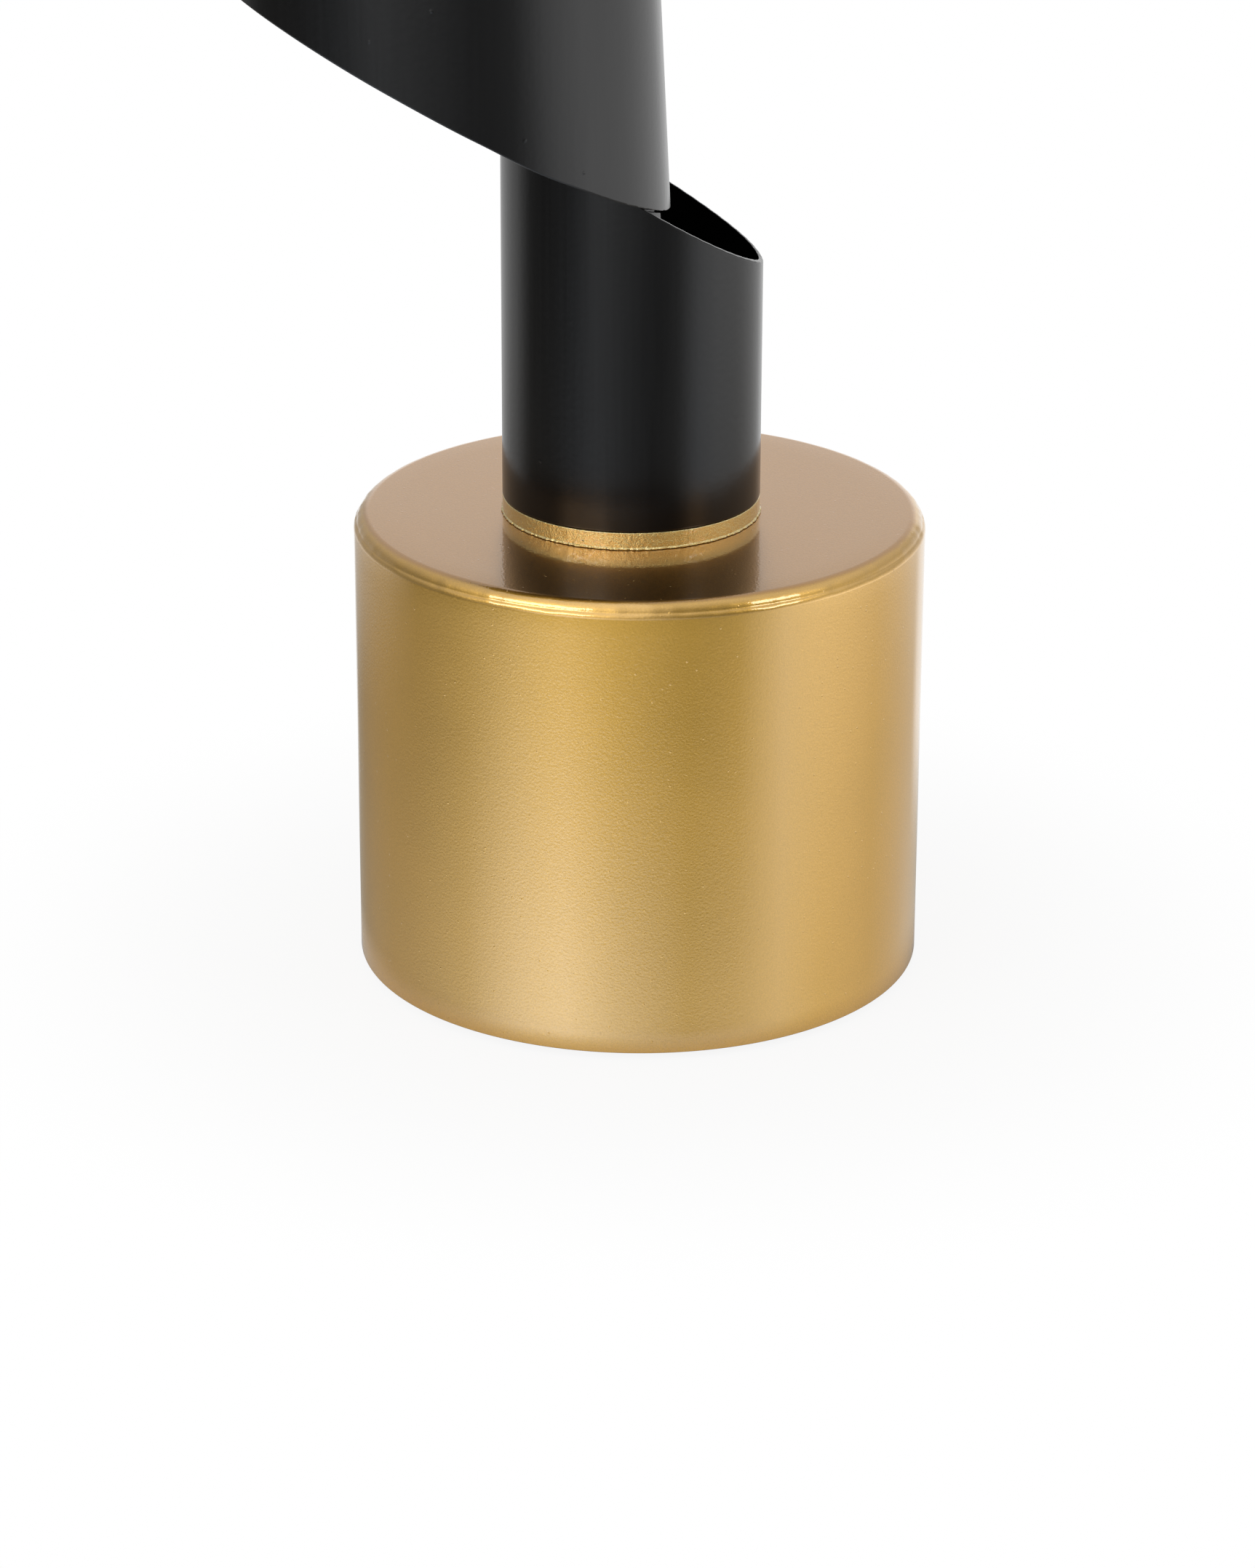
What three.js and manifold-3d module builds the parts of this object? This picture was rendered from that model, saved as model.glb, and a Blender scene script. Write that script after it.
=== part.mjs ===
// Candle holder: a wide candle tube and a narrower stem, cut at a slant and interlocked, on a weighted drum.
// Millimetres and degrees, +Z up. The origin is the centre of the felt pad's underside.
// The XZ plane is the plane of symmetry: the candle tube stands to the -X side of the stem.
import * as THREE from 'three';
import { mergeVertices } from 'three/addons/utils/BufferGeometryUtils.js';
import Module from 'manifold-3d';

// Drum
const DRUM_DIAMETER = 100;
const DRUM_HEIGHT = 82;
const DRUM_WALL = 1.2;
const DRUM_FILLET = 2.8;

// Felt pad, bottom plate and ballast
const PAD_THICKNESS = 2;
const PAD_PROUD = 1;
const PAD_MARGIN = 1.5;
const PLATE_THICKNESS = 1.5;
const PLATE_CLEARANCE = 0.4;
const DISH_DIAMETER = 32;
const DISH_WALL_RUN = 4;
const DISH_SPARE = 1;
const BALLAST_CLEARANCE = 0.4;

// Tie rod and its fastening
const ROD_DIAMETER = 8;
const ROD_PROUD = 2;
const ROD_CHAMFER = 0.8;
const ROD_CLEARANCE = 0.3;
const NUT_ACROSS_FLATS = 13;
const NUT_HEIGHT = 6.5;
const WASHER_DIAMETER = 20;
const WASHER_THICKNESS = 1.6;
const SPRING_WASHER_DIAMETER = 13.5;
const SPRING_WASHER_THICKNESS = 2;
const SPRING_WASHER_SPLIT = 1.5;

// Neck collar, stem and plug
const STEM_OFFSET = 1.5;
const STEM_DIAMETER = 45;
const STEM_WALL = 0.8;
const STEM_CUT_HEIGHT = 59.2;
const COLLAR_HEIGHT = 3;
const SPIGOT_HEIGHT = 8;
const PLUG_THICKNESS = 8;
const INSERT_CLEARANCE = 0.3;

// Slanted cuts and where the two rims cross
const CUT_ANGLE = 31.5;
const LEAN = 2.9;
const CROSSING_SETBACK = 1.6;
const RIM_GAP = 0.3;

// Candle tube
const TUBE_DIAMETER = 75;
const TUBE_WALL = 0.8;
const TUBE_LENGTH = 140;

// Tabs that join the two rims
const TAB_THICKNESS = 2.3;
const TAB_WIDTH = 13.8;
const TAB_DROP = 8;
const TAB_RISE = 8;

// Ledge tabs that carry the candle pan
const LEDGE_COUNT = 3;
const LEDGE_FIRST_ANGLE = 60;
const LEDGE_WIDTH = 10;
const LEDGE_LEG = 8;
const LEDGE_REACH = 8;
const LEDGE_THICKNESS = 1.5;

// Candle pan and pricket
const PAN_RECESS = 26;
const PAN_CLEARANCE = 1.2;
const PAN_WALL = 0.8;
const PAN_LIP = 6;
const PAN_CORNER = 2.5;
const PRICKET_FLANGE_DIAMETER = 12;
const PRICKET_FLANGE_THICKNESS = 1.5;
const PRICKET_SPIKE_DIAMETER = 5.6;
const PRICKET_SPIKE_LENGTH = 18;
const PRICKET_TIP_DIAMETER = 0.8;
const PRICKET_STUD_DIAMETER = 4;
const PRICKET_STUD_PROUD = 1.5;
const PRICKET_WASHER_DIAMETER = 9;
const PRICKET_WASHER_THICKNESS = 0.8;
const PRICKET_NUT_ACROSS_FLATS = 7;
const PRICKET_NUT_HEIGHT = 3.2;

// Clearances between stacked faces, in the upright base and in the leaning tube
const SEAT_GAP = 0.1;
const LEANING_GAP = 0.3;

// Fineness of round shapes
const ROUND_SEGMENTS = 72;
const SMALL_SEGMENTS = 20;
const ARC_STEPS = 4;
const HEX_CORNERS = 6;
const FULL_TURN = 360;
const MERGE_TOLERANCE = 1e-4;

// Levels and radii that follow from the sizes above
const drumRadius = DRUM_DIAMETER / 2;
const drumInnerRadius = drumRadius - DRUM_WALL;
const drumTop = PAD_PROUD + DRUM_HEIGHT;
const drumInnerTop = drumTop - DRUM_WALL;
const innerFillet = Math.max(DRUM_FILLET - DRUM_WALL, DRUM_WALL / 2);
const rodRadius = ROD_DIAMETER / 2;
const rodHoleRadius = rodRadius + ROD_CLEARANCE;
const plateUnder = PAD_THICKNESS + SEAT_GAP;
const fastening = [WASHER_THICKNESS, SPRING_WASHER_THICKNESS, NUT_HEIGHT];
const fasteningHeight = fastening.reduce((sum, thickness) => sum + thickness + SEAT_GAP, 0);
const dishUnder = plateUnder + fasteningHeight + ROD_PROUD + DISH_SPARE;
const stemRadius = STEM_DIAMETER / 2;
const stemInnerRadius = stemRadius - STEM_WALL;
const insertRadius = stemInnerRadius - INSERT_CLEARANCE;
const stemX = -STEM_OFFSET;
const collarUnder = drumTop + SEAT_GAP;
const stemUnder = collarUnder + COLLAR_HEIGHT + SEAT_GAP;
const spigotTop = stemUnder + SPIGOT_HEIGHT;
const plugUnder = spigotTop + SEAT_GAP;
const plugTop = plugUnder + PLUG_THICKNESS;
const stemCutZ = drumTop + STEM_CUT_HEIGHT;
const cutAngle = THREE.MathUtils.degToRad(CUT_ANGLE);
const cutSlope = Math.tan(cutAngle);
const lean = THREE.MathUtils.degToRad(LEAN);
const tubeRadius = TUBE_DIAMETER / 2;
const tubeInnerRadius = tubeRadius - TUBE_WALL;
const panUnder = TUBE_LENGTH - PAN_RECESS - PAN_WALL;
const panRadius = tubeInnerRadius - PAN_CLEARANCE;
const studRadius = PRICKET_STUD_DIAMETER / 2;
const studHoleRadius = studRadius + LEANING_GAP;

// The two rims cross where the stem's wall and the candle tube's wall meet, seen from above.
const crossingX = -CROSSING_SETBACK;
const crossingY = Math.sqrt(stemRadius ** 2 - crossingX ** 2);
const crossingAngle = Math.asin(crossingY / tubeRadius);
const tubeRimX = tubeRadius * Math.cos(crossingAngle);
const tubeRimZ = -cutSlope * tubeRimX;

const wasm = await Module();
wasm.setup();

// A closed three.js geometry as a solid that can be joined and cut.
function solidOf(geometry) {
  const bare = geometry.clone();
  bare.deleteAttribute('normal');
  bare.deleteAttribute('uv');
  const merged = mergeVertices(bare, MERGE_TOLERANCE);
  const mesh = new wasm.Mesh({
    numProp: 3,
    vertProperties: new Float32Array(merged.attributes.position.array),
    triVerts: new Uint32Array(merged.index.array),
  });
  return new wasm.Manifold(mesh);
}

function geometryOf(solid) {
  const mesh = solid.getMesh();
  const geometry = new THREE.BufferGeometry();
  geometry.setAttribute('position', new THREE.BufferAttribute(mesh.vertProperties, 3));
  geometry.setIndex(new THREE.BufferAttribute(mesh.triVerts, 1));
  geometry.computeVertexNormals();
  return geometry;
}

function paint(color, roughness, metalness) {
  return new THREE.MeshStandardMaterial({ color, roughness, metalness });
}

const goldLacquer = () => paint(0xb8924a, 0.35, 0.8);
const blackPaint = () => paint(0x1b1b1b, 0.5, 0.2);
const zincSteel = () => paint(0xa6a8aa, 0.4, 0.9);
const plainSteel = () => paint(0x6f7072, 0.55, 0.8);
const castFilling = () => paint(0x8c8981, 0.9, 0);
const blackFelt = () => paint(0x1d1c1a, 1, 0);

function part(name, geometry, material) {
  const mesh = new THREE.Mesh(geometry, material);
  mesh.name = name;
  return mesh;
}

// Points of a round stretch of a profile, as [radius, height] pairs.
function arc(centreRadius, centreHeight, radius, fromDegrees, toDegrees) {
  const points = [];
  for (let step = 0; step <= ARC_STEPS; step += 1) {
    const degrees = THREE.MathUtils.lerp(fromDegrees, toDegrees, step / ARC_STEPS);
    const angle = THREE.MathUtils.degToRad(degrees);
    points.push([centreRadius + radius * Math.cos(angle), centreHeight + radius * Math.sin(angle)]);
  }
  return points;
}

// A turned shape about the Z axis. The profile runs outwards below, up the outside and back inwards above.
function turned(profile, segments = ROUND_SEGMENTS) {
  const points = profile.map(([radius, height]) => new THREE.Vector2(radius, height));
  return new THREE.LatheGeometry(points, segments).rotateX(Math.PI / 2);
}

function ring(innerRadius, outerRadius, low, high, segments = ROUND_SEGMENTS) {
  const corners = [[innerRadius, low], [outerRadius, low], [outerRadius, high], [innerRadius, high]];
  return turned([...corners, corners[0]], segments);
}

function disc(radius, low, high, segments = ROUND_SEGMENTS) {
  return turned([[0, low], [radius, low], [radius, high], [0, high]], segments);
}

// A large block whose one face lies in the slanted cut through the origin: above the cut, or below it.
function cutBlock(size, side) {
  const block = new THREE.BoxGeometry(size, size, size);
  block.translate(0, 0, (side * size) / 2);
  return block.rotateY(cutAngle);
}

function hexNut(acrossFlats, holeRadius, height) {
  const cornerRadius = acrossFlats / 2 / Math.cos(Math.PI / HEX_CORNERS);
  const corners = [];
  for (let corner = 0; corner < HEX_CORNERS; corner += 1) {
    const angle = (corner * 2 * Math.PI) / HEX_CORNERS;
    corners.push(new THREE.Vector2(cornerRadius * Math.cos(angle), cornerRadius * Math.sin(angle)));
  }
  const outline = new THREE.Shape(corners);
  const hole = new THREE.Path();
  hole.absarc(0, 0, holeRadius, 0, 2 * Math.PI, true);
  outline.holes.push(hole);
  const options = { depth: height, bevelEnabled: false, curveSegments: SMALL_SEGMENTS };
  return new THREE.ExtrudeGeometry(outline, options);
}

// A curved strip between two angles about the Z axis.
function strip(innerRadius, outerRadius, fromAngle, toAngle, low, high) {
  const outline = new THREE.Shape();
  outline.absarc(0, 0, outerRadius, fromAngle, toAngle, false);
  outline.absarc(0, 0, innerRadius, toAngle, fromAngle, true);
  const options = { depth: high - low, bevelEnabled: false, curveSegments: SMALL_SEGMENTS };
  return new THREE.ExtrudeGeometry(outline, options).translate(0, 0, low);
}

// Cuts the tie rod's hole, on the stem's axis, through a piece of the base.
function withRodHole(geometry) {
  const reach = drumTop + STEM_CUT_HEIGHT;
  const drill = disc(rodHoleRadius, -reach, reach, SMALL_SEGMENTS).translate(stemX, 0, 0);
  return geometryOf(solidOf(geometry).subtract(solidOf(drill)));
}

function baseDrum() {
  const profile = [
    [0, drumInnerTop],
    ...arc(drumInnerRadius - innerFillet, drumInnerTop - innerFillet, innerFillet, 90, 0),
    [drumInnerRadius, PAD_PROUD],
    [drumRadius, PAD_PROUD],
    ...arc(drumRadius - DRUM_FILLET, drumTop - DRUM_FILLET, DRUM_FILLET, 0, 90),
    [0, drumTop],
  ];
  return part('base_drum', withRodHole(turned(profile)), goldLacquer());
}

function feltPad() {
  return part('felt_pad', disc(drumInnerRadius - PAD_MARGIN, 0, PAD_THICKNESS), blackFelt());
}

// The plate's face as [radius, height] pairs, from the dish's ceiling outwards to the flat rim.
function plateFace(rise, rimRadius) {
  const dishRadius = DISH_DIAMETER / 2;
  return [
    [0, dishUnder + rise],
    [dishRadius, dishUnder + rise],
    [dishRadius + DISH_WALL_RUN, plateUnder + rise],
    [rimRadius, plateUnder + rise],
  ];
}

function bottomPlate() {
  const rimRadius = drumInnerRadius - PLATE_CLEARANCE;
  const profile = [...plateFace(0, rimRadius), ...plateFace(PLATE_THICKNESS, rimRadius).reverse()];
  return part('bottom_plate', withRodHole(turned(profile)), plainSteel());
}

function ballastCore() {
  const radius = drumInnerRadius - BALLAST_CLEARANCE;
  const top = drumInnerTop - SEAT_GAP;
  const chamfer = innerFillet + BALLAST_CLEARANCE;
  const profile = [
    ...plateFace(PLATE_THICKNESS + SEAT_GAP, radius),
    [radius, top - chamfer],
    [radius - chamfer, top],
    [0, top],
  ];
  return part('ballast_core', withRodHole(turned(profile)), castFilling());
}

// The rod and what clamps it below, from the dish's ceiling downwards.
function tieFastening() {
  const group = new THREE.Group();
  const washerLow = dishUnder - SEAT_GAP - WASHER_THICKNESS;
  const springLow = washerLow - SEAT_GAP - SPRING_WASHER_THICKNESS;
  const nutLow = springLow - SEAT_GAP - NUT_HEIGHT;
  const rodLow = nutLow - ROD_PROUD;
  const rodHigh = plugTop + ROD_PROUD;
  const rod = turned([
    [0, rodLow],
    [rodRadius - ROD_CHAMFER, rodLow],
    [rodRadius, rodLow + ROD_CHAMFER],
    [rodRadius, rodHigh - ROD_CHAMFER],
    [rodRadius - ROD_CHAMFER, rodHigh],
    [0, rodHigh],
  ], SMALL_SEGMENTS);
  const washer = ring(rodHoleRadius, WASHER_DIAMETER / 2, 0, WASHER_THICKNESS, SMALL_SEGMENTS);
  const springRadius = SPRING_WASHER_DIAMETER / 2;
  const halfSplit = SPRING_WASHER_SPLIT / 2 / springRadius;
  const springTo = 2 * Math.PI - halfSplit;
  const springWasher = strip(rodHoleRadius, springRadius, halfSplit, springTo, 0, SPRING_WASHER_THICKNESS);
  const nut = hexNut(NUT_ACROSS_FLATS, rodHoleRadius, NUT_HEIGHT);
  group.add(part('tie_rod', rod, zincSteel()));
  group.add(part('tie_washer', washer.translate(0, 0, washerLow), zincSteel()));
  group.add(part('tie_spring_washer', springWasher.translate(0, 0, springLow), plainSteel()));
  group.add(part('tie_nut', nut.translate(0, 0, nutLow), zincSteel()));
  return group;
}

function neckCollar() {
  const profile = [
    [rodHoleRadius, collarUnder],
    [stemRadius, collarUnder],
    [stemRadius, collarUnder + COLLAR_HEIGHT],
    [insertRadius, collarUnder + COLLAR_HEIGHT],
    [insertRadius, spigotTop],
    [rodHoleRadius, spigotTop],
    [rodHoleRadius, collarUnder],
  ];
  return part('neck_collar', turned(profile), goldLacquer());
}

function stemPlug() {
  return part('stem_plug', ring(rodHoleRadius, insertRadius, plugUnder, plugTop), plainSteel());
}

function stemTube() {
  const reach = stemRadius * cutSlope + STEM_DIAMETER;
  const blank = ring(stemInnerRadius, stemRadius, stemUnder, stemCutZ + reach);
  const waste = cutBlock(2 * (reach + STEM_DIAMETER), 1).translate(0, 0, stemCutZ);
  return part('stem_tube', geometryOf(solidOf(blank).subtract(solidOf(waste))), blackPaint());
}

// Everything on the stem's axis, which stands a little off the drum's centre.
function stemAssembly() {
  const group = new THREE.Group();
  group.position.x = stemX;
  group.add(tieFastening(), neckCollar(), stemPlug(), stemTube());
  return group;
}

// The candle tube's own frame: its axis leans, and the middle of its slanted foot is the origin.
function placeTubeFrame(group) {
  group.rotation.y = -lean;
  const rim = new THREE.Vector3(tubeRimX, 0, tubeRimZ).applyEuler(group.rotation);
  const seat = new THREE.Vector3(stemX + crossingX, 0, stemCutZ - cutSlope * crossingX + RIM_GAP);
  group.position.copy(seat.sub(rim));
  group.updateMatrix();
}

function candleTube() {
  const foot = tubeRadius * cutSlope + TUBE_DIAMETER;
  const blank = ring(tubeInnerRadius, tubeRadius, -foot, TUBE_LENGTH);
  const waste = cutBlock(2 * (foot + TUBE_DIAMETER), -1);
  return part('candle_tube', geometryOf(solidOf(blank).subtract(solidOf(waste))), blackPaint());
}

// A tab lies inside the stem: flush with the candle tube below its rim, stepped in behind its wall above.
function jointTab(name, side, frame) {
  const tabInnerRadius = tubeRadius - TAB_THICKNESS;
  const behindWall = tubeInnerRadius - LEANING_GAP;
  const nearAngle = crossingAngle - TAB_WIDTH / tubeRadius;
  const farAngle = crossingAngle + TAB_WIDTH / tubeRadius;
  const low = tubeRimZ - TAB_DROP;
  const high = tubeRimZ + TAB_RISE;
  const [from, to] = side < 0 ? [-farAngle, -nearAngle] : [nearAngle, farAngle];
  const flush = solidOf(strip(tabInnerRadius, tubeRadius, from, to, low, high));
  const waste = solidOf(cutBlock(2 * TUBE_DIAMETER, 1).translate(0, 0, -LEANING_GAP));
  const tongue = solidOf(strip(tabInnerRadius, behindWall, from, to, low, high));
  const bore = disc(stemInnerRadius - LEANING_GAP, stemUnder, stemCutZ + STEM_DIAMETER);
  bore.translate(stemX, 0, 0).applyMatrix4(frame.matrix.clone().invert());
  return part(name, geometryOf(flush.subtract(waste).add(tongue).intersect(solidOf(bore))), blackPaint());
}

function ledgeTab(name, angle) {
  const wallFace = Math.sqrt((tubeInnerRadius - LEANING_GAP) ** 2 - (LEDGE_WIDTH / 2) ** 2);
  const top = panUnder - LEANING_GAP;
  const outline = new THREE.Shape();
  outline.moveTo(wallFace, top - LEDGE_LEG);
  outline.lineTo(wallFace, top);
  outline.lineTo(wallFace - LEDGE_REACH, top);
  outline.lineTo(wallFace - LEDGE_REACH, top - LEDGE_THICKNESS);
  outline.lineTo(wallFace - LEDGE_THICKNESS, top - LEDGE_THICKNESS);
  outline.lineTo(wallFace - LEDGE_THICKNESS, top - LEDGE_LEG);
  const bracket = new THREE.ExtrudeGeometry(outline, { depth: LEDGE_WIDTH, bevelEnabled: false });
  bracket.rotateX(Math.PI / 2).translate(0, LEDGE_WIDTH / 2, 0).rotateZ(angle);
  return part(name, bracket, blackPaint());
}

function candlePan() {
  const cornerRadius = panRadius - PAN_CORNER;
  const cornerHeight = panUnder + PAN_CORNER;
  const lipTop = panUnder + PAN_LIP;
  const profile = [
    [studHoleRadius, panUnder],
    ...arc(cornerRadius, cornerHeight, PAN_CORNER, -90, 0),
    [panRadius, lipTop],
    [panRadius - PAN_WALL, lipTop],
    ...arc(cornerRadius, cornerHeight, PAN_CORNER - PAN_WALL, 0, -90),
    [studHoleRadius, panUnder + PAN_WALL],
    [studHoleRadius, panUnder],
  ];
  return part('candle_pan', turned(profile), goldLacquer());
}

// The pricket, bolted through the pan's middle with a washer and a nut below.
function pricketFastening() {
  const group = new THREE.Group();
  const flangeLow = panUnder + PAN_WALL + LEANING_GAP;
  const flangeHigh = flangeLow + PRICKET_FLANGE_THICKNESS;
  const washerLow = panUnder - LEANING_GAP - PRICKET_WASHER_THICKNESS;
  const nutLow = washerLow - LEANING_GAP - PRICKET_NUT_HEIGHT;
  const tipHigh = flangeHigh + PRICKET_SPIKE_LENGTH;
  const spike = turned([
    [0, nutLow - PRICKET_STUD_PROUD],
    [studRadius, nutLow - PRICKET_STUD_PROUD],
    [studRadius, flangeLow],
    [PRICKET_FLANGE_DIAMETER / 2, flangeLow],
    [PRICKET_FLANGE_DIAMETER / 2, flangeHigh],
    [PRICKET_SPIKE_DIAMETER / 2, flangeHigh],
    [PRICKET_TIP_DIAMETER / 2, tipHigh],
    [0, tipHigh],
  ], SMALL_SEGMENTS);
  const washerHigh = washerLow + PRICKET_WASHER_THICKNESS;
  const washer = ring(studHoleRadius, PRICKET_WASHER_DIAMETER / 2, washerLow, washerHigh, SMALL_SEGMENTS);
  const nut = hexNut(PRICKET_NUT_ACROSS_FLATS, studHoleRadius, PRICKET_NUT_HEIGHT).translate(0, 0, nutLow);
  group.add(part('pricket', spike, goldLacquer()));
  group.add(part('pricket_washer', washer, zincSteel()));
  group.add(part('pricket_nut', nut, zincSteel()));
  return group;
}

function tubeAssembly() {
  const group = new THREE.Group();
  placeTubeFrame(group);
  group.add(candleTube());
  group.add(jointTab('joint_tab_front', -1, group));
  group.add(jointTab('joint_tab_back', 1, group));
  for (let index = 0; index < LEDGE_COUNT; index += 1) {
    const degrees = LEDGE_FIRST_ANGLE + (index * FULL_TURN) / LEDGE_COUNT;
    group.add(ledgeTab(`ledge_tab_${index + 1}`, THREE.MathUtils.degToRad(degrees)));
  }
  group.add(candlePan(), pricketFastening());
  return group;
}

const candleHolder = new THREE.Group();
candleHolder.add(baseDrum(), feltPad(), bottomPlate(), ballastCore());
candleHolder.add(stemAssembly(), tubeAssembly());

export default candleHolder;
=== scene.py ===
import math

import bmesh
import bpy
from mathutils import Matrix, Vector


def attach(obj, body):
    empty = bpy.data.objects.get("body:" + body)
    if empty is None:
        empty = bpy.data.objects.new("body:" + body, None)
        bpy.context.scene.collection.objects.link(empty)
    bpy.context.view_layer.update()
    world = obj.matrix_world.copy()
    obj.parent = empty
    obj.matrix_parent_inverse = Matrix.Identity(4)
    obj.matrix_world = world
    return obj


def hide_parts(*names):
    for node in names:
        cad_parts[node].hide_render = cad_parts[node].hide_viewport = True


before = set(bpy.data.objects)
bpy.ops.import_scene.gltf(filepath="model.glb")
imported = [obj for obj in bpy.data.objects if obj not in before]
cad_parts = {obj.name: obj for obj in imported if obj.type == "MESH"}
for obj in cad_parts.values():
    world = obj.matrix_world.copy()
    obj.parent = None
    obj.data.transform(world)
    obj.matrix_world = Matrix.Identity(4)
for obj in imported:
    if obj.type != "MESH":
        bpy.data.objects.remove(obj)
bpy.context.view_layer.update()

MM = 0.001
TAU = 2 * math.pi

# Sizes of the pieces that are rebuilt finely here, in millimetres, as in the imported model.
DRUM_RADIUS = 50.0
DRUM_LOW = 1.0
DRUM_TOP = 83.0
DRUM_WALL = 1.2
DRUM_FILLET = 2.8
DRUM_LIP = 0.25
CREASE_ROUND = 0.8
CREASE_LOW = math.radians(20)
CREASE_HIGH = math.radians(45)
PAD_RADIUS = 47.3
PAD_THICKNESS = 2.0
PAD_ROUND = 0.5
ROD_HOLE_RADIUS = 4.3
STEM_X = -1.5
STEM_RADIUS = 22.5
STEM_WALL = 0.8
STEM_LOW = 86.2
STEM_CUT_Z = 142.2
COLLAR_LOW = 83.1
COLLAR_HIGH = 86.1
COLLAR_ROUND = 0.14
SPIGOT_RADIUS = 21.4
SPIGOT_HIGH = 94.2
SPIGOT_CHAMFER = 0.4
CUT_SLOPE = math.tan(math.radians(31.5))
LEAN = math.radians(2.9)
CROSSING_X = -1.6
RIM_GAP = 0.3
TUBE_RADIUS = 37.5
TUBE_WALL = 0.8
TUBE_LENGTH = 140.0
PAN_UNDER = 113.2
PAN_RADIUS = 35.5
PAN_WALL = 0.8
PAN_LIP = 6.0
PAN_CORNER = 2.5
STUD_RADIUS = 2.0
STUD_HOLE_RADIUS = 2.3
STUD_LOW = 107.1
STUD_CHAMFER = 0.4
FLANGE_LOW = 114.3
FLANGE_HIGH = 115.8
FLANGE_RADIUS = 6.0
FLANGE_CHAMFER = 0.2
FLANGE_ROUND = 0.5
SPIKE_RADIUS = 2.8
SPIKE_TIP_RADIUS = 0.4
SPIKE_TIP = 133.8
TAB_THICKNESS = 2.3
TAB_NEAR = math.radians(26)
TAB_FAR = math.radians(57.8)
TAB_DROP = 8.0
TAB_RISE = 8.0
TAB_GAP = 0.3
EDGE_ROUND = 0.16

# How finely the pieces are divided, and the angle from which an edge looks sharp.
DRUM_STEPS = 432
PAD_STEPS = 240
COLLAR_STEPS = 720
TUBE_STEPS = 432
TUBE_ROWS = 8
PAN_STEPS = 240
SPIKE_STEPS = 64
TAB_COLUMNS = 16
SHARP_ANGLE = math.radians(30)

# Small unevenness round a piece: waves of (count round the piece, phase, size in millimetres).
DRUM_EDGE_WAVES = [
    (11, 0.4, 0.03), (23, 1.9, 0.03), (41, 0.9, 0.025), (67, 2.6, 0.02), (97, 1.2, 0.015),
]
PAD_WAVES = [(7, 0.4, 0.05), (19, 1.7, 0.04), (47, 2.9, 0.03), (83, 0.3, 0.03)]
COLLAR_WAVES = [
    (23, 0.7, 0.03), (41, 2.1, 0.03), (67, 1.3, 0.04), (113, 0.2, 0.04), (151, 2.6, 0.04),
]
TUBE_FOOT_WAVES = [(61, 0.3, 0.02), (97, 1.9, 0.02), (143, 0.8, 0.018), (211, 2.4, 0.016)]
STEM_MOUTH_WAVES = [(53, 0.0, 0.02)]
# The lacquer bead at the collar's foot: (millimetres out from the stem, millimetres up).
COLLAR_BEAD = [(0.14, 0.0), (0.17, 0.1), (0.14, 0.2), (0.05, 0.28)]
# How far the candle tube's foot hangs below a true plane: (degrees round the tube, millimetres).
TUBE_SAG = [
    (-180, 0.25), (-140, 0.25), (-110, 0.36), (-88, 0.5), (-73, 0.83), (-56, 0.52),
    (-36, 0.47), (-10, 0.75), (36, 0.47), (110, 0.36), (180, 0.25),
]

# The camera that was fitted to the photograph, in millimetres.
CAMERA_PLACE = (-128.74, -803.1, 360.68)
CAMERA_TARGET = (-1.94, 0.31, 30.75)
CAMERA_LENS = 112.55
CAMERA_SENSOR = 36
CAMERA_ROLL = math.radians(0.19)
CAMERA_TURN = math.radians(8.97)

AHEAD = Vector((math.sin(CAMERA_TURN), math.cos(CAMERA_TURN), 0))
RIGHT = Vector((math.cos(CAMERA_TURN), -math.sin(CAMERA_TURN), 0))


# Materials

# The values between which most of a soft and most of a finer noise lies.
SOFT_LOW, SOFT_HIGH = 0.3, 0.7
FINE_LOW, FINE_HIGH = 0.25, 0.75
# Where lacquer lies level it is smoother, and its colour is darkened there as painted shade of the
# top: the normal's Z between which this sets in, the shares of red, green and blue that are left
# of its colour, and how much less rough it is.
LEVEL_FROM, LEVEL_FULL = 0.8, 0.99
TOP_SHADE_SHARES = (0.75, 0.63, 0.62)
LEVEL_SMOOTHING = 0.05
# By how much the lacquer's roughness varies from place to place.
LACQUER_VARIATION = 0.04


def add_node(tree, kind, **inputs):
    """A new node with some of its inputs set. Their names are given in small letters."""
    made = tree.nodes.new(kind)
    for name, value in inputs.items():
        made.inputs[name.replace("_", " ").title()].default_value = value
    return made


def new_material(name):
    material = bpy.data.materials.new(name)
    material.use_nodes = True
    tree = material.node_tree
    return material, tree, tree.nodes["Principled BSDF"]


def coordinates(tree, stretch=(1, 1, 1)):
    """Places in the piece's own frame, in metres, with each axis stretched."""
    source = tree.nodes.new("ShaderNodeTexCoord")
    mapping = add_node(tree, "ShaderNodeMapping", scale=stretch)
    tree.links.new(source.outputs["Object"], mapping.inputs["Vector"])
    return mapping.outputs["Vector"]


def noise(tree, vector, scale, detail=2.0, roughness=0.5):
    made = add_node(tree, "ShaderNodeTexNoise", scale=scale, detail=detail, roughness=roughness)
    tree.links.new(vector, made.inputs["Vector"])
    return made.outputs["Fac"]


def remap(tree, value, low, high, to_low=0.0, to_high=1.0, smooth=False):
    made = add_node(
        tree, "ShaderNodeMapRange", from_min=low, from_max=high, to_min=to_low, to_max=to_high
    )
    made.interpolation_type = "SMOOTHSTEP" if smooth else "LINEAR"
    tree.links.new(value, made.inputs["Value"])
    return made.outputs["Result"]


def combine(tree, operation, first, second):
    made = tree.nodes.new("ShaderNodeMath")
    made.operation = operation
    for socket, value in zip(made.inputs, (first, second)):
        if isinstance(value, (int, float)):
            socket.default_value = value
        else:
            tree.links.new(value, socket)
    return made.outputs["Value"]


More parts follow.
